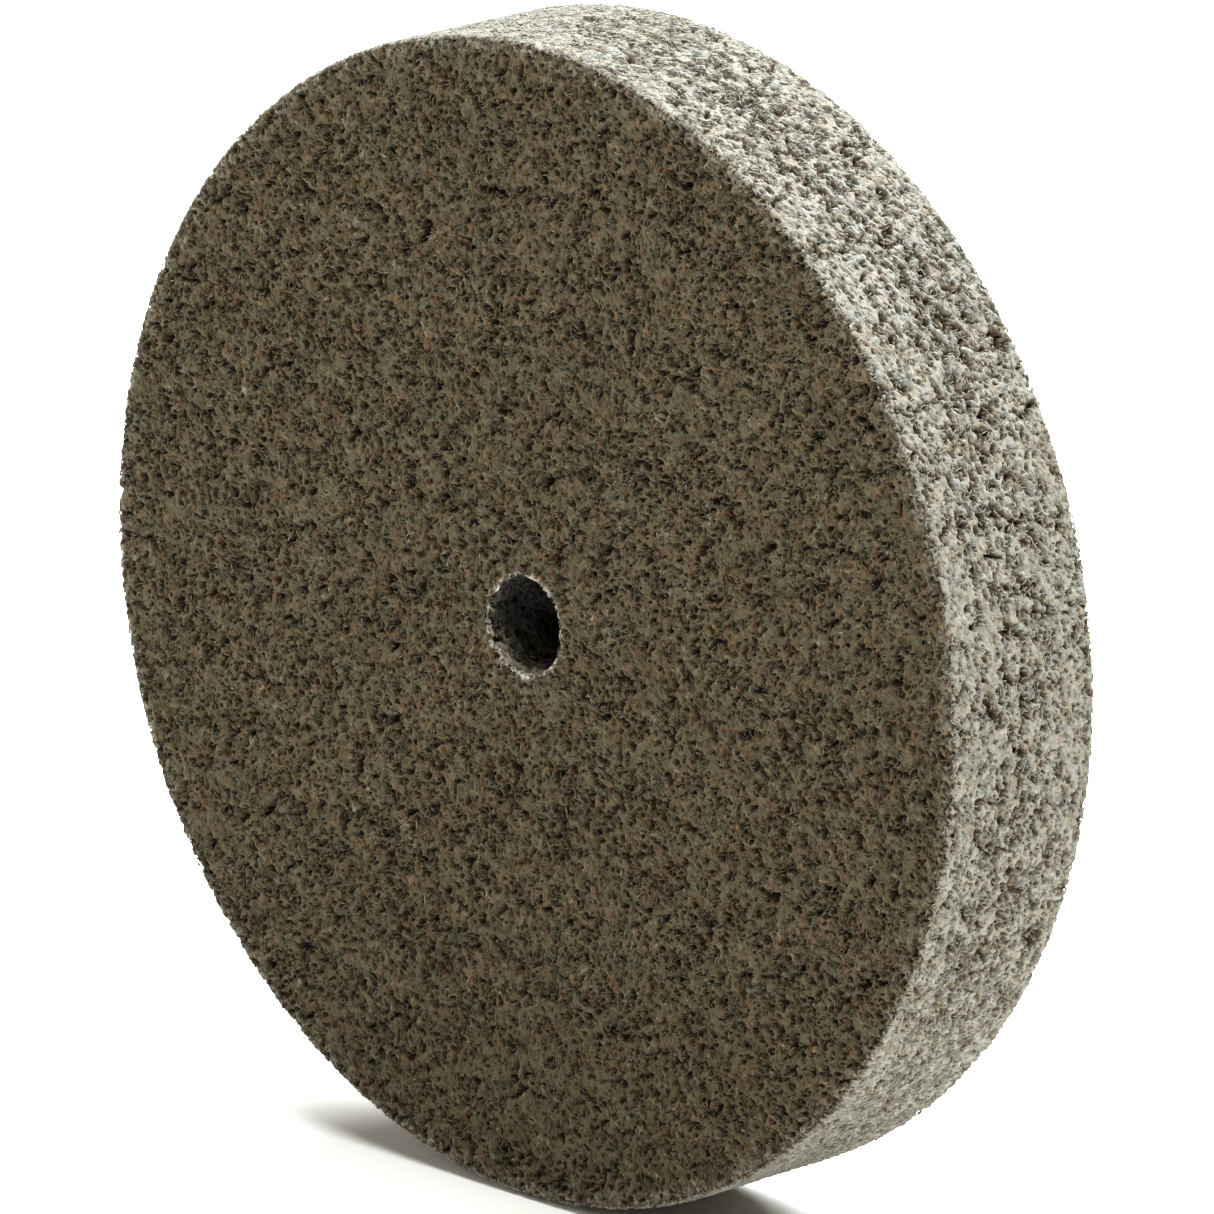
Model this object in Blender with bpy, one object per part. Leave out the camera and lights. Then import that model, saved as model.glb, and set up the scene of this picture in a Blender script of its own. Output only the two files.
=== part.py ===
"""A unitized non-woven abrasive wheel: eight pressed web plies, bonded in a stack and bored.

Units are metres and +Z is up. The wheel stands on its rim, its axis is the world's Y axis, and
its centre is the origin, so the front face looks along -Y and the back face along +Y.
"""
import math

import bpy

WHEEL_DIAMETER = 0.0762
WHEEL_THICKNESS = 0.0127
BORE_DIAMETER = 0.00635

PLY_COUNT = 8
PLY_GAP = 0.0003
PLY_THICKNESS = (WHEEL_THICKNESS - (PLY_COUNT - 1) * PLY_GAP) / PLY_COUNT
PLY_PITCH = PLY_THICKNESS + PLY_GAP

CUT_EDGE_RADIUS = 0.0004    # the rounded rim corner of each outermost ply's open face
BORE_MOUTH_RADIUS = 0.0003  # the rounded mouth of the bore in each outermost ply's open face
PLY_EDGE_BEVEL = 0.0001     # every corner where a ply lies against its neighbour
ROUNDED_STEPS = 3           # straight steps in a rounded corner; a bevelled one has a single step

RING_SEGMENTS = 72
SEGMENT_ANGLE = 2.0 * math.pi / RING_SEGMENTS
FLATS_ON_CIRCLE = 1.0 / math.cos(SEGMENT_ANGLE / 2)  # makes the flats, not the corners, touch the circle

SHARP_ANGLE = math.radians(35)
WEB_ROUGHNESS = 0.95
OUTER_WEB_COLOUR = (0.170, 0.145, 0.105, 1.0)
INNER_WEB_COLOUR = (0.260, 0.240, 0.195, 1.0)


def clear_scene():
    """Remove every object that the file holds."""
    for item in list(bpy.data.objects):
        bpy.data.objects.remove(item, do_unlink=True)


def web_material(name, colour):
    """Matt, fibrous web in one colour."""
    material = bpy.data.materials.new(name)
    material.use_nodes = True
    shader = material.node_tree.nodes["Principled BSDF"]
    shader.inputs["Base Color"].default_value = colour
    shader.inputs["Roughness"].default_value = WEB_ROUGHNESS
    shader.inputs["Metallic"].default_value = 0.0
    material.diffuse_color = colour
    return material


def section_corner(radius_at, y_at, inward_r, inward_y, size, steps):
    """Points (radius, y) that ease one corner of a ply's section, from its round side to its flat face.

    (radius_at, y_at) is the sharp corner. inward_r and inward_y are +1 or -1 and point into the ply.
    """
    centre_r = radius_at + inward_r * size
    centre_y = y_at + inward_y * size
    points = []
    for step in range(steps + 1):
        angle = 0.5 * math.pi * step / steps
        point_r = centre_r - inward_r * size * math.cos(angle)
        point_y = centre_y - inward_y * size * math.sin(angle)
        points.append((point_r, point_y))
    return points


def ply_section(front_is_open, back_is_open):
    """The closed section (radius, y) of one ply centred on y = 0, from the bore out along its front."""
    outer = WHEEL_DIAMETER / 2
    inner = BORE_DIAMETER / 2
    half = PLY_THICKNESS / 2
    section = []
    for y_at, inward_y, is_open in ((-half, 1, front_is_open), (half, -1, back_is_open)):
        mouth_size = BORE_MOUTH_RADIUS if is_open else PLY_EDGE_BEVEL
        rim_size = CUT_EDGE_RADIUS if is_open else PLY_EDGE_BEVEL
        steps = ROUNDED_STEPS if is_open else 1
        side = section_corner(inner, y_at, 1, inward_y, mouth_size, steps)
        side += reversed(section_corner(outer, y_at, -1, inward_y, rim_size, steps))
        section += side if y_at < 0 else reversed(side)
    return section


def turned_ring(name, section):
    """A mesh made by turning a closed section once round the Y axis, with flats at +-X and +-Z."""
    count = len(section)
    vertices = []
    for segment in range(RING_SEGMENTS):
        angle = SEGMENT_ANGLE * (segment + 0.5)
        for radius, y in section:
            corner = radius * FLATS_ON_CIRCLE
            vertices.append((corner * math.cos(angle), y, corner * math.sin(angle)))
    faces = []
    for segment in range(RING_SEGMENTS):
        here = segment * count
        there = (segment + 1) % RING_SEGMENTS * count
        for point in range(count):
            following = (point + 1) % count
            faces.append((here + point, here + following, there + following, there + point))
    mesh = bpy.data.meshes.new(name)
    mesh.from_pydata(vertices, [], faces)
    mesh.validate()
    mesh.shade_smooth()
    mesh.set_sharp_from_angle(angle=SHARP_ANGLE)
    return mesh


def ply_name(index):
    """The name of ply number index, counted from 0 at the front face."""
    if index == 0:
        return "web_ply_1_front"
    if index == PLY_COUNT - 1:
        return f"web_ply_{PLY_COUNT}_back"
    return f"web_ply_{index + 1}"


def add_ply(index, wheel, material):
    """Make ply number index and set it at its place along the wheel's axis."""
    name = ply_name(index)
    section = ply_section(front_is_open=index == 0, back_is_open=index == PLY_COUNT - 1)
    mesh = turned_ring(name, section)
    mesh.materials.append(material)
    ply = bpy.data.objects.new(name, mesh)
    ply.location = (0.0, (index - (PLY_COUNT - 1) / 2) * PLY_PITCH, 0.0)
    ply.parent = wheel
    bpy.context.scene.collection.objects.link(ply)


def build_wheel():
    """The whole wheel: an empty at its centre, and the plies from front to back."""
    wheel = bpy.data.objects.new("wheel_axis", None)
    wheel.empty_display_size = WHEEL_DIAMETER / 4
    bpy.context.scene.collection.objects.link(wheel)
    outer_web = web_material("outer_web", OUTER_WEB_COLOUR)
    inner_web = web_material("inner_web", INNER_WEB_COLOUR)
    for index in range(PLY_COUNT):
        is_outermost = index in (0, PLY_COUNT - 1)
        add_ply(index, wheel, outer_web if is_outermost else inner_web)


clear_scene()
build_wheel()
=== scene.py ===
"""Looks of the non-woven polishing wheel: a porous, resin-bonded mat of nylon fibres and abrasive grain.

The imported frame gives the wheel's size and its eight web plies. Each ply becomes one closed mesh whose open
surfaces are a mat of laid fibres with pores between them. Short fibres that lie on the mat, bridge its pores
or stand proud of it are closed tubes of their own.
Lengths are in millimetres until a mesh is made, and the wheel's axis is Y with its front face at -Y.
"""
import math

import bpy
import numpy as np
from mathutils import Matrix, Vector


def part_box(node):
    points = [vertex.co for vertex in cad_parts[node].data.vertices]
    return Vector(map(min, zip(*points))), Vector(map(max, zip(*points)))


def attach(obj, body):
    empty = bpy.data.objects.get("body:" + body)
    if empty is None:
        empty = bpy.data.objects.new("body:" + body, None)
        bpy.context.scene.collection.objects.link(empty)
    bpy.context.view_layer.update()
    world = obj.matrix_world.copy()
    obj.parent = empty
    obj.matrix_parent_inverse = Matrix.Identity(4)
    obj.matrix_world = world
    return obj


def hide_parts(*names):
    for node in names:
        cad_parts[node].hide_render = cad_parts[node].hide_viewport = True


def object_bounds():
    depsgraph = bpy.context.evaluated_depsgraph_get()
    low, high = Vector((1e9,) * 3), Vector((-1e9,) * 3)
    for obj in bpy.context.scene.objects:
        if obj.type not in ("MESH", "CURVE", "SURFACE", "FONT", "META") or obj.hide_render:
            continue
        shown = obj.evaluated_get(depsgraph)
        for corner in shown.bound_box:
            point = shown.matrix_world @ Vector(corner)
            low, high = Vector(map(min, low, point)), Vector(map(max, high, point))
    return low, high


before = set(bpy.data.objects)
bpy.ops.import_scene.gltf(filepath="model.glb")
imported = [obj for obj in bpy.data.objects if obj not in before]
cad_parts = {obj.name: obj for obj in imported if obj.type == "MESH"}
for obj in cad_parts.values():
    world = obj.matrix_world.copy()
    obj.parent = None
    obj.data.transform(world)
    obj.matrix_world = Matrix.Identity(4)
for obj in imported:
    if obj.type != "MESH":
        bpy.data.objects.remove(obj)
CAD_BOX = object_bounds()

MM = 0.001
TAU = 2.0 * math.pi

# ---- the wheel, from the frame ----
PLY_NODES = sorted(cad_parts, key=lambda node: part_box(node)[0][1])
PLY_COUNT = len(PLY_NODES)
RIM_RADIUS = (CAD_BOX[1][0] - CAD_BOX[0][0]) / 2 / MM
HALF_THICKNESS = (CAD_BOX[1][1] - CAD_BOX[0][1]) / 2 / MM
BORE_RADIUS = 3.175
EDGE_RADIUS = 0.4
MOUTH_RADIUS = 0.3

# A spread of headings, in radians, so wide that fibres lie every way.
EVERY_WAY = 9.0

# ---- how finely it is made ----
PITCH = 0.12
CELL = 0.06
DEEPEST = -1.25
CREASE_DEGREES = 50

# ---- the laid fibres of the mat, per square millimetre and in millimetres ----
FIBRES_PER_MM2 = 20
FIBRE_RADII = (0.05, 0.085)
FIBRE_LENGTHS = (0.4, 1.5)
FIBRE_STEPS = 20
DEEPEST_FIBRE = 0.6
BARE_LEVEL = -0.8

# A laid cell keeps its height and its tone in one whole number, so that the highest fibre wins with its tone.
HEIGHT_STEPS = 10000
TONE_STEPS = 1024

# ---- the pores: depths and reach in millimetres, rim and wall as shares of a pore's own size ----
PORE_DEPTHS = (0.35, 1.1)
PORE_REACH = 0.8
PORE_RIM = 1.15
PORE_WALL = 0.3
RAGGEDNESS = 0.35
RAGGED_CELLS = 2.2
ROW_SHARE = 0.6
ROW_SCATTER = 0.35

# How far a ring's points stray from even spacing, as a share of that spacing.
STRAY = 0.28

# ---- the short fibres on top of the mat; resting and tucked are shares of a fibre's own radius ----
STRAND_RINGS = 4
STRAND_TAPER = (0.45, 1.0, 1.0, 0.45)
STRANDS_PER_PIECE = 10000
BORE_STRANDS = 900
STRAND_MARGIN = 0.04
FREE_SHARE = 0.15
FREE_LIFT = (0.02, 0.08)
RESTING = 0.3
TUCKED = 1.4
PORE_LEVEL = -0.3
BRIDGING = 0.45


# ------------------------------------------------------------------ fields of fibres

def blurred(field, sigma_cells):
    """A Gaussian blur that wraps round both edges."""
    rows = np.fft.fftfreq(field.shape[0])[:, None]
    columns = np.fft.rfftfreq(field.shape[1])[None, :]
    gain = np.exp(-2.0 * (math.pi * sigma_cells) ** 2 * (rows ** 2 + columns ** 2))
    return np.fft.irfft2(np.fft.rfft2(field) * gain, s=field.shape)


def drift(shape, scale_cells, rng):
    """Smooth noise with about unit spread and blobs about scale_cells across."""
    field = blurred(rng.standard_normal(shape), scale_cells / 2)
    return field / field.std()


class Web:
    """A patch of fibre mat: its height, and the tone of the fibre that shows, on a grid of cells.

    The patch wraps round in both directions, u along its length and v across it.
    """

    def __init__(self, length, width, spread, seed, relief,
                 pores_per_mm2, pore_size, pore_stretch, pore_rows=0):
        self.length = length
        self.width = width
        self.spread = spread
        self.relief = relief
        self.columns = int(round(length / CELL))
        self.rows = int(round(width / CELL))
        self.rng = np.random.default_rng(seed)
        key = np.full(self.rows * self.columns, -2 * HEIGHT_STEPS, np.int64) * TONE_STEPS
        self.lay(key)
        top = (key // TONE_STEPS) / HEIGHT_STEPS
        self.height = np.maximum(top.reshape(self.rows, self.columns), BARE_LEVEL)
        self.tone = (key % TONE_STEPS / (TONE_STEPS - 1)).reshape(self.rows, self.columns)
        self.hue = self.tone * 61.0 % 1.0
        self.open_pores(pores_per_mm2, pore_size, pore_stretch, pore_rows)
        self.height = np.maximum(blurred(self.height, 0.5), DEEPEST)

    def lay(self, key):
        """Lay the fibres, each a bent strand of round section, and keep the highest at each cell."""
        rng = self.rng
        count = int(self.length * self.width * FIBRES_PER_MM2)
        radius = rng.uniform(*FIBRE_RADII, count)
        length = rng.uniform(*FIBRE_LENGTHS, count)
        u = rng.uniform(0, self.length, count)
        v = rng.uniform(0, self.width, count)
        heading = rng.normal(0, self.spread, count)
        bend = rng.normal(0, 1.0, count)
        depth = np.minimum(rng.exponential(self.relief, count), DEEPEST_FIBRE)
        tilt = rng.normal(0, 0.9 * self.relief, count)
        arch = rng.normal(0, 0.5 * self.relief, count)
        tone = rng.integers(0, TONE_STEPS, count)
        reach = int(math.ceil(FIBRE_RADII[1] / CELL))
        for share in np.linspace(-0.5, 0.5, FIBRE_STEPS):
            angle = heading + bend * share * length
            u = u + np.cos(angle) * length / FIBRE_STEPS
            v = v + np.sin(angle) * length / FIBRE_STEPS
            middle = -depth + tilt * share * length + arch * (1 - 4 * share * share)
            column = np.floor(u / CELL).astype(np.int64)
            row = np.floor(v / CELL).astype(np.int64)
            for row_step in range(-reach, reach + 1):
                for column_step in range(-reach, reach + 1):
                    gap_u = (column + column_step + 0.5) * CELL - u
                    gap_v = (row + row_step + 0.5) * CELL - v
                    inside = radius ** 2 - gap_u ** 2 - gap_v ** 2
                    hit = inside > 0
                    if not hit.any():
                        continue
                    top = middle[hit] + np.sqrt(inside[hit]) - radius[hit]
                    place = (row[hit] + row_step) % self.rows * self.columns
                    place += (column[hit] + column_step) % self.columns
                    level = np.round(top * HEIGHT_STEPS).astype(np.int64)
                    np.maximum.at(key, place, level * TONE_STEPS + tone[hit])

    def open_pores(self, per_mm2, typical, stretch, rows_of_pores):
        """Sink the pores: ragged steep holes, longer than wide, some gathered in rows between plies."""
        rng = self.rng
        count = int(self.length * self.width * per_mm2)
        centre_u = rng.uniform(0, self.length, count)
        centre_v = rng.uniform(0, self.width, count)
        if rows_of_pores:
            row = 1 + rng.binomial(rows_of_pores - 2, 0.5, count)
            in_row = row * self.width / rows_of_pores + rng.normal(0, ROW_SCATTER, count)
            centre_v = np.where(rng.random(count) < ROW_SHARE, in_row, centre_v)
        size = rng.gamma(4.0, typical / 4.0, count)
        ratio = rng.uniform(1.0, 2 * stretch - 1.0, count)
        heading = rng.normal(0, 0.6 * self.spread, count)
        depth = rng.uniform(*PORE_DEPTHS, count)
        sunk = np.zeros(self.rows * self.columns)
        reach = int(PORE_REACH / CELL)
        ragged = drift((self.rows, self.columns), RAGGED_CELLS, rng).ravel()
        for row_step in range(-reach, reach + 1):
            for column_step in range(-reach, reach + 1):
                column = np.floor(centre_u / CELL).astype(np.int64) + column_step
                row = np.floor(centre_v / CELL).astype(np.int64) + row_step
                gap_u = (column + 0.5) * CELL - centre_u
                gap_v = (row + 0.5) * CELL - centre_v
                lengthwise = (gap_u * np.cos(heading) + gap_v * np.sin(heading)) / (size * ratio)
                across = (gap_v * np.cos(heading) - gap_u * np.sin(heading)) / size
                away = np.sqrt(lengthwise ** 2 + across ** 2)
                near = away < 2.0
                if not near.any():
                    continue
                place = row[near] % self.rows * self.columns + column[near] % self.columns
                edge = PORE_RIM - away[near] + RAGGEDNESS * ragged[place]
                share = np.clip(edge / PORE_WALL, 0, 1)
                np.maximum.at(sunk, place, share * depth[near])
        self.height = self.height - sunk.reshape(self.rows, self.columns)

    def look_up(self, field, u, v):
        """The field's value at points given in millimetres, interpolated between cells."""
        column = np.asarray(u) / CELL - 0.5
        row = np.asarray(v) / CELL - 0.5
        left = np.floor(column).astype(np.int64)
        low = np.floor(row).astype(np.int64)
        part_u = column - left
        part_v = row - low
        left, right = left % self.columns, (left + 1) % self.columns
        low, high = low % self.rows, (low + 1) % self.rows
        lower = field[low, left] * (1 - part_u) + field[low, right] * part_u
        upper = field[high, left] * (1 - part_u) + field[high, right] * part_u
        return lower * (1 - part_v) + upper * part_v


# ------------------------------------------------------------------ the plies

def ring(radius, y, normal_r, normal_y, place, pitch=PITCH):
    """One circle of points round the axis: where it lies, which way it faces and which field shapes it."""
    count = max(24, int(round(TAU * radius / pitch)))
    return {"radius": radius, "y": y, "normal": (normal_r, normal_y), "place": place, "count": count}


def rounded(centre_r, centre_y, size, start_angle, end_angle, place):
    """Rings along a rounded corner. Angles are of the outward normal, 0 along +radius and 90 along +Y."""
    steps = max(3, int(round(size * math.radians(abs(end_angle - start_angle)) / PITCH)))
    rings = []
    for step in range(1, steps):
        angle = math.radians(start_angle + (end_angle - start_angle) * step / steps)
        normal_r, normal_y = math.cos(angle), math.sin(angle)
        rings.append(ring(centre_r + size * normal_r, centre_y + size * normal_y, normal_r, normal_y, place))
    return rings


def spaced(start, end):
    """Values from start to end about PITCH apart, both included."""
    return np.linspace(start, end, max(2, int(round(abs(end - start) / PITCH)) + 1))


def ply_rings(index):
    """Every ring of one ply, in order: down the bore, over its front, along the rim and over its back."""
    low = -HALF_THICKNESS + 2 * HALF_THICKNESS * index / PLY_COUNT
    high = -HALF_THICKNESS + 2 * HALF_THICKNESS * (index + 1) / PLY_COUNT
    is_front = index == 0
    is_back = index == PLY_COUNT - 1
    bore_low = low + MOUTH_RADIUS if is_front else low
    bore_high = high - MOUTH_RADIUS if is_back else high
    rim_low = low + EDGE_RADIUS if is_front else low
    rim_high = high - EDGE_RADIUS if is_back else high
    face_rings = spaced(BORE_RADIUS + MOUTH_RADIUS, RIM_RADIUS - EDGE_RADIUS)
    hidden = [(RIM_RADIUS - 2.0, 0.6), (RIM_RADIUS - 8.0, 2.0), (12.0, 2.0), (BORE_RADIUS + 1.6, 0.6)]
    rings = [ring(BORE_RADIUS, y, -1, 0, "bore") for y in spaced(bore_high, bore_low)]
    if is_front:
        rings += rounded(BORE_RADIUS + MOUTH_RADIUS, bore_low, MOUTH_RADIUS, 180, 270, "mouth")
        rings += [ring(radius, low, 0, -1, "front") for radius in face_rings]
        rings += rounded(RIM_RADIUS - EDGE_RADIUS, rim_low, EDGE_RADIUS, -90, 0, "edge")
    else:
        rings += [ring(radius, low, 0, -1, "hidden", pitch) for radius, pitch in reversed(hidden)]
    rings += [ring(RIM_RADIUS, y, 1, 0, "rim") for y in spaced(rim_low, rim_high)]
    if is_back:
        rings += rounded(RIM_RADIUS - EDGE_RADIUS, rim_high, EDGE_RADIUS, 0, 90, "edge")
        rings += [ring(radius, high, 0, 1, "back") for radius in reversed(face_rings)]
        rings += rounded(BORE_RADIUS + MOUTH_RADIUS, bore_high, MOUTH_RADIUS, 90, 180, "mouth")
    else:
        rings += [ring(radius, high, 0, 1, "hidden", pitch) for radius, pitch in hidden]
    return rings


class Surfaces:
    """The fields that shape the wheel, one for each open surface, and how a point on it looks them up."""

    def __init__(self):
        side = 2 * RIM_RADIUS + 2.0
        self.middle = side / 2
        self.front = Web(side, side, EVERY_WAY, seed=11, relief=0.08,
                         pores_per_mm2=1.7, pore_size=0.08, pore_stretch=2.0)
        self.back = Web(side, side, EVERY_WAY, seed=12, relief=0.08,
                        pores_per_mm2=1.7, pore_size=0.08, pore_stretch=2.0)
        self.rim = Web(TAU * RIM_RADIUS, 2 * HALF_THICKNESS, 0.9, seed=13, relief=0.06,
                       pores_per_mm2=1.8, pore_size=0.095, pore_stretch=2.4, pore_rows=PLY_COUNT)
        self.bore = Web(TAU * BORE_RADIUS, 2 * HALF_THICKNESS, 0.7, seed=14, relief=0.1,
                        pores_per_mm2=1.5, pore_size=0.1, pore_stretch=1.6)

    def flat(self, web, points, field):
        """A face's field at points, looked up by where they lie across the face."""
        return web.look_up(getattr(web, field), points[..., 0] + self.middle, points[..., 2] + self.middle)

    def round(self, web, points, radius, field):
        """The rim's or the bore's field at points, looked up by how far round and along they lie."""
        angle = np.arctan2(points[..., 2], points[..., 0]) % TAU
        return web.look_up(getattr(web, field), angle * radius, points[..., 1] + HALF_THICKNESS)

    def value(self, points, place, normal, field):
        """The field at points of one ring, blended across the rounded corners."""
        if place == "hidden":
            return np.zeros(len(points))
        face = self.front if normal[1] < 0 else self.back
        level = normal[1] ** 2
        if place in ("bore", "mouth"):
            side = self.round(self.bore, points, BORE_RADIUS, field)
        else:
            side = self.round(self.rim, points, RIM_RADIUS, field)
        if level == 0:
            return side
        return level * self.flat(face, points, field) + (1 - level) * side


def bore_depth(points):
    """How far inside the bore a point is from the nearer mouth."""
    return np.maximum(HALF_THICKNESS - MOUTH_RADIUS - np.abs(points[..., 1]), 0)


def cut_and_shade_share(points, place, normal, tone):
    """How much a point takes the rim's colour, 0 on a face and 1 on the rim, ragged where that changes.

    The rim is cut web and paler; the faces' darker colour is partly painted shade.
    """
    if place == "hidden":
        return np.zeros(len(points))
    if place == "rim":
        return np.ones(len(points))
    radius = np.hypot(points[:, 0], points[:, 2])
    if place in ("front", "back"):
        # Faces grade towards the paler rim colour near the rounded edge and at the mouth.
        paler_near_rim = 0.40 * np.exp(-(RIM_RADIUS - EDGE_RADIUS - radius) / 0.4)
        paler_near_mouth = 0.75 * np.exp(-(radius - BORE_RADIUS - MOUTH_RADIUS) / 0.12)
        return np.clip((paler_near_rim + paler_near_mouth) * 2 * tone, 0, 1)
    if place == "mouth":
        return np.clip(0.6 + 0.8 * tone, 0, 1)
    if place == "bore":
        # The bore's wall keeps the paler rim colour at its frayed mouths, and further in the darker face
        # colour adds to its painted shade.
        return 0.35 + 0.55 * np.exp(-bore_depth(points) / 0.35)
    return np.clip((normal[0] ** 2 - 0.4) * 2.4 + 0.5 + 1.1 * (tone - 0.5), 0, 1)


def painted_bore_shade_and_pale_mouth(points, place, tone):
    """A factor on the colour: 1 in the open, paler at the frayed bore mouths, painted shade inside the bore.

    The bore's floor stays pale further in than its roof, as painted light falling in through the mouth.
    """
    if place == "mouth":
        return np.full(tone.shape, 1.5)
    if place != "bore":
        return np.ones(tone.shape)
    # Painted shade: darker the further in from the nearer mouth; painted light reaches further in along the
    # floor.
    upward = points[..., 2] / np.hypot(points[..., 0], points[..., 2])
    reach = 0.25 + 2.4 * np.clip(-upward - 0.15, 0, 1) ** 1.3
    return 0.03 + 0.14 * tone ** 2 + (0.7 + 1.5 * tone) * np.exp(-bore_depth(points) / reach)


def ring_points(item, rng):
    """The ring's points, spread unevenly along it and across it so that no rows show."""
    count = item["count"]
    angle = (np.arange(count) + 0.5) / count * TAU
    shift = rng.uniform(-STRAY, STRAY, count) * TAU / count
    radius = np.full(count, float(item["radius"]))
    if item["place"] != "hidden":
        angle = angle + shift
    if item["place"] in ("front", "back"):
        radius = radius + rng.uniform(-STRAY, STRAY, count) * PITCH
    return np.stack([radius * np.cos(angle), np.full(count, float(item["y"])), radius * np.sin(angle)], 1)


def stitched(first, first_count, second, second_count):
    """Triangles that join two rings of points numbered from first and from second."""
    first_middle = (np.arange(first_count) + 1.0) / first_count
    second_middle = (np.arange(second_count) + 1.0) / second_count
    apex = np.searchsorted(second_middle, first_middle, side="left")
    here = np.arange(first_count)
    one = np.stack([first + here, first + (here + 1) % first_count, second + apex % second_count], 1)
    apex = np.searchsorted(first_middle, second_middle, side="right")
    here = np.arange(second_count)
    two = np.stack([first + apex % first_count, second + (here + 1) % second_count, second + here], 1)
    return np.concatenate([one, two])


# ------------------------------------------------------------------ unwrapping into texture places

# Middle and reach, in the image, of the discs that hold a ply's face and its hidden flats.
FACE_DISC = (0.44, 0.42)
HIDDEN_DISC = (0.985, 0.005)

# Left, bottom, width and height, in the image, of the boxes that hold the bands round the axis.
BORE_BOX = (0.02, 0.955, 0.9, 0.04)
NARROW_RIM_BOX = (0.02, 0.885, 0.94, 0.065)
WHOLE_RIM_BOX = (0.0, 0.0, 0.96, 0.94)


def unwrapped_disc(corners, disc):
    """Texture places of the corners of triangles that lie square to the axis, seen along it."""
    middle, reach = disc
    return middle + corners[..., [0, 2]] / RIM_RADIUS * reach


def unwrapped_strip(corners, travel, rows, box):
    """Texture places of a band round the axis, cut into rows stacked in a box of the image.

    Travel is each corner's share of the way across the band.
    """
    left, bottom, width, height = box
    angle = np.arctan2(corners[..., 2], corners[..., 0]) % TAU
    first = angle[:, :1]
    near = first + (angle - first + math.pi) % TAU - math.pi
    row = np.minimum(np.floor(first / TAU * rows), rows - 1)
    along = near / TAU * rows - row
    u = left + width * (0.02 + 0.96 * along)
    v = bottom + height * (row + 0.06 + 0.88 * travel) / rows
    return np.stack([u, v], -1)


def unwrapped(kind, corners, travel, whole):
    """Texture places for one band of triangles. A ply with no open face gives its rim the whole image."""
    if kind == "hidden":
        return unwrapped_disc(corners, HIDDEN_DISC)
    if kind == "face":
        return unwrapped_disc(corners, FACE_DISC)
    if kind == "bore":
        return unwrapped_strip(corners, travel, 1, BORE_BOX)
    if whole:
        return unwrapped_strip(corners, travel, 8, WHOLE_RIM_BOX)
    return unwrapped_strip(corners, travel, 2, NARROW_RIM_BOX)


def band_kind(first, second):
    """Which part of the image the band between two rings goes to."""
    places = (first["place"], second["place"])
    if "hidden" in places:
        return "hidden"
    if "front" in places or "back" in places:
        return "face"
    if "bore" in places or "mouth" in places:
        return "bore"
    return "rim"


def mesh_object(name, points_mm, triangles, places, fields, material):
    """A smooth-shaded piece from points in millimetres, triangles, texture places and per-point fields."""
    mesh = bpy.data.meshes.new(name)
    mesh.vertices.add(len(points_mm))
    mesh.vertices.foreach_set("co", (points_mm * MM).astype(np.float32).ravel())
    mesh.loops.add(len(triangles) * 3)
    mesh.loops.foreach_set("vertex_index", triangles.astype(np.int32).ravel())
    mesh.polygons.add(len(triangles))
    mesh.polygons.foreach_set("loop_start", np.arange(0, len(triangles) * 3, 3, dtype=np.int32))
    mesh.update(calc_edges=True)
    layer = mesh.uv_layers.new(name="OFBake")
    layer.data.foreach_set("uv", places.astype(np.float32).ravel())
    for field, values in fields.items():
        made = mesh.attributes.new(field, "FLOAT", "POINT")
        made.data.foreach_set("value", values.astype(np.float32))
    mesh.shade_smooth()
    mesh.materials.append(material)
    piece = bpy.data.objects.new(name, mesh)
    bpy.context.scene.collection.objects.link(piece)
    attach(piece, "root")
    return piece


def build_ply(index, surfaces, material):
    """One web ply as a closed mesh that stands for its CAD ring."""
    node = PLY_NODES[index]
    is_outer = index in (0, PLY_COUNT - 1)
    rings = ply_rings(index)
    starts = np.concatenate([[0], np.cumsum([item["count"] for item in rings])])
    points = []
    fields = {"depth": [], "tone": [], "hue": [], "cut": [], "open": []}
    for item in rings:
        seed = int(abs(item["y"]) * 1000 + (item["y"] > 0) * 7 + item["radius"] * 100000)
        base = ring_points(item, np.random.default_rng(seed))
        normal_r, normal_y = item["normal"]
        height = surfaces.value(base, item["place"], item["normal"], "height")
        tone = surfaces.value(base, item["place"], item["normal"], "tone")
        outward = base[:, [0, 2]] / np.hypot(base[:, 0], base[:, 2])[:, None]
        rise = np.full(len(base), float(normal_y))
        step = np.stack([outward[:, 0] * normal_r, rise, outward[:, 1] * normal_r], 1)
        points.append(base + step * height[:, None])
        fields["depth"].append(height)
        fields["tone"].append(tone)
        fields["hue"].append(surfaces.value(base, item["place"], item["normal"], "hue"))
        fields["cut"].append(cut_and_shade_share(base, item["place"], item["normal"], tone))
        fields["open"].append(painted_bore_shade_and_pale_mouth(base, item["place"], tone))
    points = np.concatenate(points)
    kinds = [band_kind(item, rings[(number + 1) % len(rings)]) for number, item in enumerate(rings)]
    triangles, places = [], []
    for number, item in enumerate(rings):
        after = (number + 1) % len(rings)
        band = stitched(starts[number], item["count"], starts[after], rings[after]["count"])
        on_next_ring = (band >= starts[after]) & (band < starts[after + 1])
        kind = kinds[number]
        travel = (number - kinds.index(kind) + on_next_ring) / (kinds.count(kind) + 1)
        triangles.append(band)
        places.append(unwrapped(kind, points[band], travel, not is_outer))
    merged = {field: np.concatenate(values) for field, values in fields.items()}
    piece = mesh_object(node + "_fibres", points, np.concatenate(triangles), np.concatenate(places),
                        merged, material)
    piece.data.set_sharp_from_angle(angle=math.radians(CREASE_DEGREES))
    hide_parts(node)


# ------------------------------------------------------------------ the short fibres

def edge_drop(beyond, size):
    """How far a rounded edge has fallen away at a distance beyond where its rounding starts."""
    within = np.clip(beyond, 0, size * 0.98)
    return size - np.sqrt(size ** 2 - within ** 2)


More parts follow.
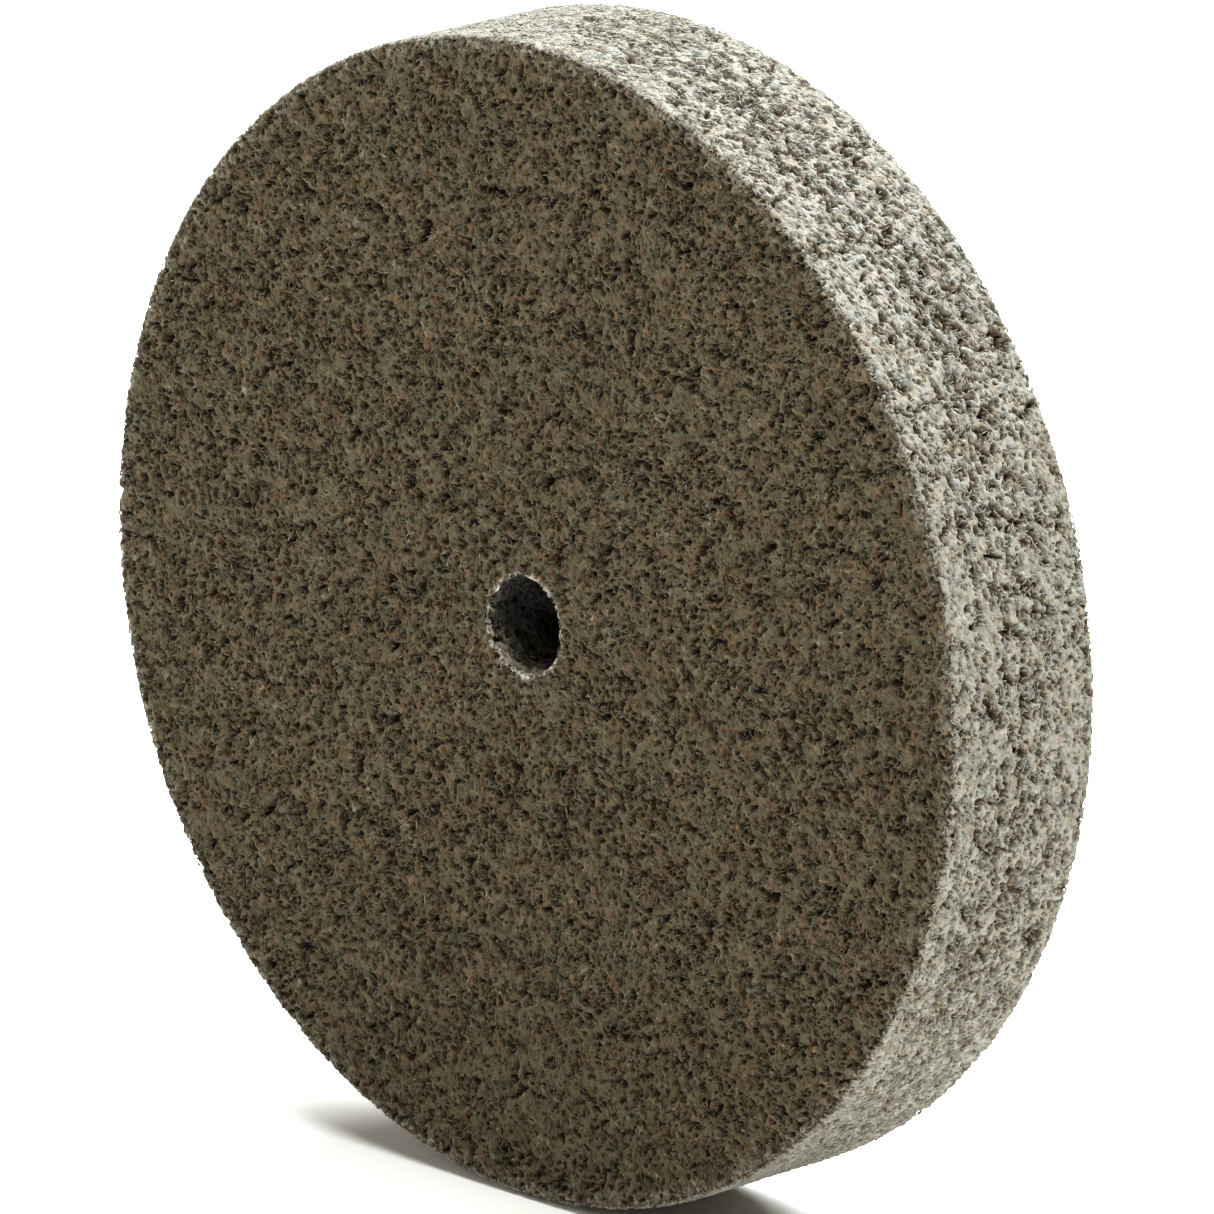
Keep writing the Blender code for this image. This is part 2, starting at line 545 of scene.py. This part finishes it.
class FaceLay:
    """Where short fibres lie on the front face, side -1, or on the back face, side 1."""

    cut = 0.0
    is_bore = False

    def __init__(self, surfaces, side):
        self.surfaces = surfaces
        self.side = side
        self.web = surfaces.front if side < 0 else surfaces.back
        self.spread = EVERY_WAY
        self.length = 0.5
        self.thickness = (0.036, 0.064)

    def scatter(self, count, rng):
        inner = (BORE_RADIUS + 0.1) ** 2
        outer = (RIM_RADIUS - 0.1) ** 2
        radius = np.sqrt(rng.uniform(inner, outer, count))
        angle = rng.uniform(0, TAU, count)
        return radius * np.cos(angle), radius * np.sin(angle)

    def level(self, u, v):
        middle = self.surfaces.middle
        return self.web.look_up(self.web.height, u + middle, v + middle)

    def place(self, u, v, height):
        away = np.hypot(u, v)
        radius = np.clip(away, BORE_RADIUS + STRAND_MARGIN, RIM_RADIUS - STRAND_MARGIN)
        u = u * radius / away
        v = v * radius / away
        drop = edge_drop(radius - (RIM_RADIUS - EDGE_RADIUS), EDGE_RADIUS)
        drop += edge_drop(BORE_RADIUS + MOUTH_RADIUS - radius, MOUTH_RADIUS)
        y = self.side * (HALF_THICKNESS - drop + height)
        outward = np.zeros(u.shape + (3,))
        outward[..., 1] = self.side
        return np.stack([u, y, v], -1), outward


class RoundLay:
    """Where short fibres lie on the rim, side 1, or on the bore's wall, side -1."""

    def __init__(self, web, radius, side, edge, cut, spread):
        self.web = web
        self.radius = radius
        self.side = side
        self.is_bore = side < 0
        self.edge = edge
        self.cut = cut
        self.spread = spread
        self.length = 0.42
        self.thickness = (0.034, 0.058)

    def scatter(self, count, rng):
        u = rng.uniform(0, TAU * self.radius, count)
        v = rng.uniform(-HALF_THICKNESS + 0.05, HALF_THICKNESS - 0.05, count)
        return u, v

    def level(self, u, v):
        return self.web.look_up(self.web.height, u, v + HALF_THICKNESS)

    def place(self, u, v, height):
        angle = u / self.radius
        v = np.clip(v, -HALF_THICKNESS + STRAND_MARGIN, HALF_THICKNESS - STRAND_MARGIN)
        drop = edge_drop(np.abs(v) - (HALF_THICKNESS - self.edge), self.edge)
        radius = self.radius + self.side * (height - drop)
        points = np.stack([radius * np.cos(angle), v, radius * np.sin(angle)], -1)
        outward = np.stack([np.cos(angle), np.zeros(angle.shape), np.sin(angle)], -1) * self.side
        return points, outward


def strand_paths(lay, count, rng):
    """Centrelines of short bent fibres on a surface, which way is outward there, their radius and height.

    A fibre rests a little above the mat or bridges a pore. Its ends are tucked in, or one is lifted free.
    """
    share = np.linspace(-0.5, 0.5, STRAND_RINGS)
    start_u, start_v = lay.scatter(2 * count, rng)
    bridging = rng.random(2 * count) < BRIDGING
    clear = np.flatnonzero((lay.level(start_u, start_v) > PORE_LEVEL) | bridging)[:count]
    start_u, start_v = start_u[clear], start_v[clear]
    length = rng.gamma(7.0, lay.length / 7.0, count)[:, None]
    radius = rng.uniform(*lay.thickness, count)
    heading = rng.normal(0, lay.spread, count)[:, None]
    bend = rng.normal(0, 0.8, count)[:, None]
    angle = heading + bend * share
    u = start_u[:, None] + np.cos(angle) * length * share
    v = start_v[:, None] + np.sin(angle) * length * share
    lowest = -rng.gamma(1.5, 0.06, count)[:, None]
    height = np.maximum(lay.level(u, v), lowest) + RESTING * radius[:, None]
    height[:, 0] -= TUCKED * radius
    free = rng.random(count) < FREE_SHARE
    lift = rng.uniform(*FREE_LIFT, count)
    height[:, -1] += np.where(free, lift, -TUCKED * radius)
    height[:, -2] += np.where(free, 0.4 * lift, 0.0)
    points, outward = lay.place(u, v, height)
    return points, outward, radius, height


def strand_template():
    """The triangles of one closed three-sided tube, and each triangle corner's ring and turn."""
    corners = []
    for step in range(STRAND_RINGS - 1):
        for turn in range(3):
            here, there = (step, turn), (step + 1, turn)
            across, beside = (step + 1, turn + 1), (step, turn + 1)
            corners += [[here, there, across], [here, across, beside]]
    last = STRAND_RINGS - 1
    corners += [[(0, 0), (0, 1), (0, 2)], [(last, 0), (last, 2), (last, 1)]]
    return np.array(corners)


def build_strands(name, lay, count, seed, material, tone_range):
    """One piece of short fibres on a surface: closed tubes, tapered at both ends."""
    rng = np.random.default_rng(seed)
    centres, outward, radius, height = strand_paths(lay, count, rng)
    along = np.gradient(centres, axis=1)
    along /= np.linalg.norm(along, axis=2, keepdims=True)
    side = np.cross(along, outward)
    side /= np.linalg.norm(side, axis=2, keepdims=True)
    up = np.cross(side, along)
    points = np.empty((count, STRAND_RINGS, 3, 3))
    reach = radius[:, None, None] * np.array(STRAND_TAPER)[None, :, None]
    for turn, degrees in enumerate((90, 210, 330)):
        angle = math.radians(degrees)
        points[:, :, turn] = centres + reach * (math.cos(angle) * side + math.sin(angle) * up)
    template = strand_template()
    numbers = template[..., 0] * 3 + template[..., 1] % 3
    triangles = numbers[None] + (np.arange(count) * STRAND_RINGS * 3)[:, None, None]
    grid = int(math.ceil(math.sqrt(count)))
    cell = np.stack([np.arange(count) % grid, np.arange(count) // grid], -1)
    within = 0.1 + 0.8 * template / np.array([STRAND_RINGS - 1, 3])
    places = (cell[:, None, None, :] + within[None]) / grid
    tone = rng.uniform(*tone_range, count)[:, None] + rng.normal(0, 0.05, (count, STRAND_RINGS))
    fields = {
        "tone": np.repeat(np.clip(tone, 0, 1).ravel(), 3),
        "hue": np.repeat(rng.uniform(0, 1, count), STRAND_RINGS * 3),
        "depth": np.repeat(np.minimum(height, 0).ravel(), 3),
        "cut": np.full(points.size // 3, lay.cut),
        "open": np.ones(points.size // 3),
    }
    # Short fibres in the bore take the same painted shade as its wall.
    if lay.is_bore:
        fields["open"] = np.repeat(painted_bore_shade_and_pale_mouth(centres, "bore", tone).ravel(), 3)
    mesh_object(name, points.reshape(-1, 3), triangles.reshape(-1, 3), places.reshape(-1, 2),
                fields, material)


def build_all_strands(surfaces, material):
    """Short fibres on every open surface, split into pieces that export well."""
    front = FaceLay(surfaces, -1)
    back = FaceLay(surfaces, 1)
    rim = RoundLay(surfaces.rim, RIM_RADIUS, 1, EDGE_RADIUS, 1.0, 1.2)
    bore = RoundLay(surfaces.bore, BORE_RADIUS, -1, MOUTH_RADIUS, 0.8, 0.9)
    lays = (
        ("front_face_fibres", front, 4, 21, "outer_web", (0.35, 1.0)),
        ("back_face_fibres", back, 3, 31, "outer_web", (0.35, 1.0)),
        ("rim_fibres", rim, 3, 41, "inner_web", (0.42, 0.75)),
    )
    for name, lay, pieces, seed, slot, tones in lays:
        for number in range(pieces):
            piece = f"{name}_{number + 1}"
            build_strands(piece, lay, STRANDS_PER_PIECE, seed + number, material, tones)
    build_strands("bore_fibres", bore, BORE_STRANDS, 51, material, (0.35, 1.0))


# ------------------------------------------------------------------ materials

class Nodes:
    """Short calls that add and join shader nodes in one material."""

    def __init__(self, name):
        self.material = bpy.data.materials.new(name)
        self.material.use_nodes = True
        self.tree = self.material.node_tree
        self.shader = self.tree.nodes["Principled BSDF"]
        self.coordinates = self.add("ShaderNodeTexCoord").outputs["Object"]

    def add(self, kind):
        return self.tree.nodes.new(kind)

    def join(self, source, target):
        self.tree.links.new(source, target)

    def attribute(self, name):
        node = self.add("ShaderNodeAttribute")
        node.attribute_name = name
        return node.outputs["Fac"]

    def noise(self, scale, detail=2.0, roughness=0.5):
        node = self.add("ShaderNodeTexNoise")
        node.inputs["Scale"].default_value = scale
        node.inputs["Detail"].default_value = detail
        node.inputs["Roughness"].default_value = roughness
        self.join(self.coordinates, node.inputs["Vector"])
        return node.outputs["Fac"]

    def cells(self, scale):
        """A random number for each cell of a Voronoi pattern."""
        node = self.add("ShaderNodeTexVoronoi")
        node.inputs["Scale"].default_value = scale
        self.join(self.coordinates, node.inputs["Vector"])
        split = self.add("ShaderNodeSeparateColor")
        self.join(node.outputs["Color"], split.inputs[0])
        return split.outputs[0]

    def spread(self, value, low, high, new_low, new_high):
        """Maps low..high to new_low..new_high, held at both ends."""
        node = self.add("ShaderNodeMapRange")
        settings = {"From Min": low, "From Max": high, "To Min": new_low, "To Max": new_high}
        for name, setting in settings.items():
            node.inputs[name].default_value = setting
        self.join(value, node.inputs[0])
        return node.outputs[0]

    def sums(self, *values):
        total = values[0]
        for value in values[1:]:
            node = self.add("ShaderNodeMath")
            node.operation = "ADD"
            self.join(total, node.inputs[0])
            self.join(value, node.inputs[1])
            total = node.outputs[0]
        return total

    def ramp(self, value, stops):
        node = self.add("ShaderNodeValToRGB")
        marks = node.color_ramp.elements
        while len(marks) < len(stops):
            marks.new(0.5)
        for mark, (position, colour) in zip(marks, stops):
            mark.position = position
            mark.color = (*colour, 1.0)
        self.join(value, node.inputs[0])
        return node.outputs[0]

    def mixed(self, share, first, second, blend="MIX"):
        node = self.add("ShaderNodeMix")
        node.data_type = "RGBA"
        node.blend_type = blend
        if isinstance(share, float):
            node.inputs[0].default_value = share
        else:
            self.join(share, node.inputs[0])
        self.join(first, node.inputs[6])
        self.join(second, node.inputs[7])
        return node.outputs[2]


# Face tones are darker than rim tones: partly the rim's paler cut web, partly painted shade on the faces.
FACE_TONES = (
    (0.0, (0.039, 0.028, 0.0125)),
    (0.35, (0.0555, 0.0420, 0.0190)),
    (0.65, (0.070, 0.0540, 0.0252)),
    (0.85, (0.0950, 0.0755, 0.0410)),
    (1.0, (0.198, 0.172, 0.120)),
)
RIM_TONES = (
    (0.0, (0.164, 0.142, 0.106)),
    (0.35, (0.226, 0.212, 0.170)),
    (0.65, (0.256, 0.246, 0.208)),
    (0.85, (0.280, 0.274, 0.244)),
    (1.0, (0.342, 0.340, 0.318)),
)
# The rim hues stray less from grey than the face hues, the same split of cut web and painted shade.
FACE_HUES = (
    (0.10, (1.18, 0.80, 0.56)),
    (0.42, (1.04, 0.97, 0.88)),
    (0.62, (0.98, 1.03, 1.04)),
    (0.90, (0.88, 1.11, 1.20)),
)
RIM_HUES = (
    (0.10, (1.08, 0.92, 0.78)),
    (0.42, (1.01, 0.99, 0.96)),
    (0.62, (0.99, 1.00, 1.02)),
    (0.90, (0.94, 1.03, 1.09)),
)
# Painted shade in the pores, as colour factors from the bottom of a pore, 0, to the open mat, 1.
FACE_PAINTED_PORE_SHADE = (
    (0.0, (0.09, 0.07, 0.045)),
    (0.5, (0.46, 0.39, 0.31)),
    (1.0, (1.0, 1.0, 1.0)),
)
# The same painted pore shade for the rim.
RIM_PAINTED_PORE_SHADE = (
    (0.0, (0.14, 0.080, 0.045)),
    (0.5, (0.54, 0.41, 0.29)),
    (1.0, (1.0, 1.0, 1.0)),
)


def web_material(name, is_rough):
    """Resin-coated nylon fibre with abrasive grain: matt, each fibre its own tone, dark in the pores as
    painted shade.
    """
    web = Nodes(name)
    fibre = web.spread(web.attribute("tone"), 0, 1, 0.0, 0.72)
    patch = web.spread(web.cells(3300), 0, 1, 0.0, 0.26)
    cloud = web.spread(web.noise(700, 3), 0.3, 0.7, -0.12, 0.12)
    tone = web.sums(fibre, patch, cloud)
    fibre_hue = web.spread(web.attribute("hue"), 0, 1, 0.0, 0.55)
    patch_hue = web.spread(web.cells(2600), 0, 1, 0.0, 0.30)
    cloud_hue = web.spread(web.noise(900, 3), 0.3, 0.7, -0.12, 0.22)
    hue = web.sums(fibre_hue, patch_hue, cloud_hue)
    face = web.mixed(1.0, web.ramp(tone, FACE_TONES), web.ramp(hue, FACE_HUES), "MULTIPLY")
    rim = web.mixed(1.0, web.ramp(tone, RIM_TONES), web.ramp(hue, RIM_HUES), "MULTIPLY")
    # Painted shade in the pores: the deeper a point lies, the darker and browner.
    sunk = web.spread(web.attribute("depth"), -0.75, -0.06, 0.0, 1.0)
    face = web.mixed(1.0, face, web.ramp(sunk, FACE_PAINTED_PORE_SHADE), "MULTIPLY")
    rim = web.mixed(1.0, rim, web.ramp(sunk, RIM_PAINTED_PORE_SHADE), "MULTIPLY")
    # Each point takes the face colour, partly painted shade, or the paler rim colour, by its cut share.
    colour = web.mixed(web.attribute("cut"), face, rim)
    # The open factor carries the bore's painted shade and painted light, and the paler frayed mouths.
    colour = web.mixed(1.0, colour, web.attribute("open"), "MULTIPLY")
    grain = web.spread(web.noise(6500, 2), 0.35, 0.65, 0.90, 1.10)
    colour = web.mixed(1.0, colour, grain, "MULTIPLY")
    web.join(colour, web.shader.inputs["Base Color"])
    web.join(web.spread(web.noise(2500, 2), 0.3, 0.7, 0.72, 0.98), web.shader.inputs["Roughness"])
    web.shader.inputs["Specular IOR Level"].default_value = 0.3
    web.shader.inputs["Sheen Weight"].default_value = 0.1
    web.shader.inputs["Sheen Roughness"].default_value = 0.4
    if is_rough:
        bump = web.add("ShaderNodeBump")
        bump.inputs["Strength"].default_value = 0.4
        bump.inputs["Distance"].default_value = 0.00004
        web.join(web.noise(7500, 3, 0.6), bump.inputs["Height"])
        web.join(bump.outputs[0], web.shader.inputs["Normal"])
    return web.material


# ------------------------------------------------------------------ studio

def build_floor():
    """A plain pale floor just under the wheel, wide enough to reach the horizon."""
    half = 40.0
    level = CAD_BOX[0][2] - 0.0002
    mesh = bpy.data.meshes.new("floor")
    corners = [(-half, -half, level), (half, -half, level), (half, half, level), (-half, half, level)]
    mesh.from_pydata(corners, [], [(0, 1, 2, 3)])
    paper = bpy.data.materials.new("pale_floor")
    paper.use_nodes = True
    shader = paper.node_tree.nodes["Principled BSDF"]
    shader.inputs["Base Color"].default_value = (0.80, 0.78, 0.73, 1.0)
    shader.inputs["Roughness"].default_value = 0.9
    mesh.materials.append(paper)
    floor = bpy.data.objects.new("floor", mesh)
    bpy.context.scene.collection.objects.link(floor)


def direction(azimuth, elevation):
    """Unit vector from the wheel towards a bearing: azimuth 0 is in front of it, at -Y, and 90 at +X."""
    a, e = math.radians(azimuth), math.radians(elevation)
    return np.array([math.sin(a) * math.cos(e), -math.cos(a) * math.cos(e), math.sin(e)])


def aim(item, away):
    """Turn a lamp or camera so that it looks against the direction away, with its top up."""
    up = np.array([0.0, 0.0, 1.0])
    right = np.cross(up, away)
    right /= np.linalg.norm(right)
    top = np.cross(away, right)
    turn = Matrix([[right[i], top[i], away[i]] for i in range(3)])
    item.rotation_mode = "QUATERNION"
    item.rotation_quaternion = turn.to_quaternion()


def hang(light, azimuth, elevation, distance):
    """Put a light at a bearing from the wheel, aimed at it."""
    lamp = bpy.data.objects.new(light.name, light)
    away = direction(azimuth, elevation)
    lamp.location = away * distance
    aim(lamp, away)
    bpy.context.scene.collection.objects.link(lamp)


def add_softbox(name, azimuth, elevation, distance, size, power, colour):
    """A round softbox, in metres and watts."""
    light = bpy.data.lights.new(name, "AREA")
    light.shape = "DISK"
    light.size = size
    light.energy = power
    light.color = colour
    hang(light, azimuth, elevation, distance)


def add_overhead_light(azimuth, elevation, width_degrees, strength, colour):
    """A wide, very soft light from far overhead, which lights the whole floor evenly."""
    light = bpy.data.lights.new("overhead_light", "SUN")
    light.angle = math.radians(width_degrees)
    light.energy = strength
    light.color = colour
    hang(light, azimuth, elevation, 1.0)


def build_camera():
    """A long lens a little above the wheel, turned half towards its rim, in metres and degrees."""
    azimuth, elevation, distance = 45.28, 15.65, 0.866
    data = bpy.data.cameras.new("camera")
    data.sensor_width = 36.0
    data.lens = 401.3
    data.clip_start = 0.05
    data.clip_end = 20.0
    camera = bpy.data.objects.new("camera", data)
    away = direction(azimuth, elevation)
    right = np.array([math.cos(math.radians(azimuth)), math.sin(math.radians(azimuth)), 0.0])
    shift_right = 0.00084
    target = right * shift_right
    camera.location = target + away * distance
    aim(camera, away)
    bpy.context.scene.collection.objects.link(camera)
    bpy.context.scene.camera = camera


def build_world():
    """A dim warm room whose walls are brightly lit low down, so that the floor runs on into white."""
    world = bpy.data.worlds.new("world")
    bpy.context.scene.world = world
    world.use_nodes = True
    tree = world.node_tree
    background = tree.nodes["Background"]
    background.inputs[0].default_value = (1.0, 0.93, 0.82, 1.0)
    heading = tree.nodes.new("ShaderNodeTexCoord")
    split = tree.nodes.new("ShaderNodeSeparateXYZ")
    level = tree.nodes.new("ShaderNodeMapRange")
    settings = {"From Min": 0.06, "From Max": 0.16, "To Min": 1.25, "To Max": 0.16}
    for name, setting in settings.items():
        level.inputs[name].default_value = setting
    tree.links.new(heading.outputs["Generated"], split.inputs[0])
    tree.links.new(split.outputs[2], level.inputs[0])
    tree.links.new(level.outputs[0], background.inputs[1])


def build_light():
    """The overhead light comes from a little behind the wheel, and a weak softbox fills its front."""
    add_overhead_light(azimuth=188, elevation=72, width_degrees=76, strength=12.9,
                       colour=(0.91, 0.96, 1.0))
    add_softbox("front_softbox", azimuth=325, elevation=25, distance=1.2, size=1.0, power=4.5,
                colour=(1.0, 0.98, 0.94))
    bpy.context.scene.view_settings.view_transform = "Standard"


def main():
    build_camera()
    surfaces = Surfaces()
    web = web_material("bonded_web", True)
    fibre = web_material("coated_fibre", False)
    for index in range(PLY_COUNT):
        build_ply(index, surfaces, web)
    build_all_strands(surfaces, fibre)
    build_floor()
    build_world()
    build_light()


main()
